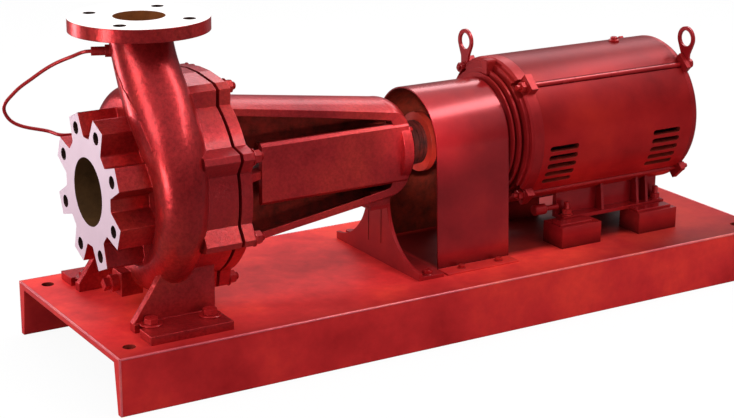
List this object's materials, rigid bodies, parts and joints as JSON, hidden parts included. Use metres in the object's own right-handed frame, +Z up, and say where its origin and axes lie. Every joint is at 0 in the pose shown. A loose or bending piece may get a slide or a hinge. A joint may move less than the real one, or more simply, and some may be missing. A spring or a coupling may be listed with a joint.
{
  "type": "fire pump",
  "caption": "Horizontal end-suction fire pump with volute casing, star-lugged suction flange, bearing bracket, guarded coupling and open drip-proof motor on a steel channel base",
  "frame": {"origin": "centre of the bounding box in plan, on the floor", "axes": "+Z up; the shaft runs along X with the suction flange facing -X and the motor at the +X end; +Y is the far side"},
  "size_m": [1.22, 0.381, 0.5224],
  "materials": {
    "red_paint": "gloss",
    "steel": "satin",
    "bare_iron": "matte",
    "bronze": "satin",
    "rubber": "matte"
  },
  "bodies": {
    "frame": {"baseplate": "red_paint", "pump_casing": "red_paint", "casing_cover": "red_paint", "bearing_bracket": "red_paint", "bearing_cover": "red_paint", "support_foot": "red_paint", "coupling_guard": "red_paint", "motor_shell": "red_paint", "motor_front_bell": "red_paint", "motor_rear_bell": "red_paint", "stator_core": "bare_iron", "tie_rod_1": "red_paint", "tie_rod_2": "red_paint", "tie_rod_3": "red_paint", "tie_rod_4": "red_paint", "lifting_eye_front": "red_paint", "lifting_eye_rear": "red_paint", "foot_rail_near": "red_paint", "foot_rail_far": "red_paint", "block_near_front": "red_paint", "block_near_rear": "red_paint", "block_far_front": "red_paint", "block_far_rear": "red_paint", "terminal_box": "red_paint", "vent_tube": "red_paint", "neck_fitting": "red_paint", "wall_fitting": "red_paint", "drain_plug": "red_paint"},
    "rotor": {"impeller": "bronze", "pump_shaft": "steel", "coupling_hub_pump": "red_paint", "coupling_element": "rubber", "coupling_hub_motor": "red_paint", "motor_shaft": "steel", "motor_rotor": "bare_iron"}
  },
  "joints": [
    {"name": "rotor_turn", "type": "hinge", "parent": "frame", "child": "rotor", "pos_m": [0, 0, 0.2724], "axis": [1, 0, 0], "continuous": true}
  ]
}
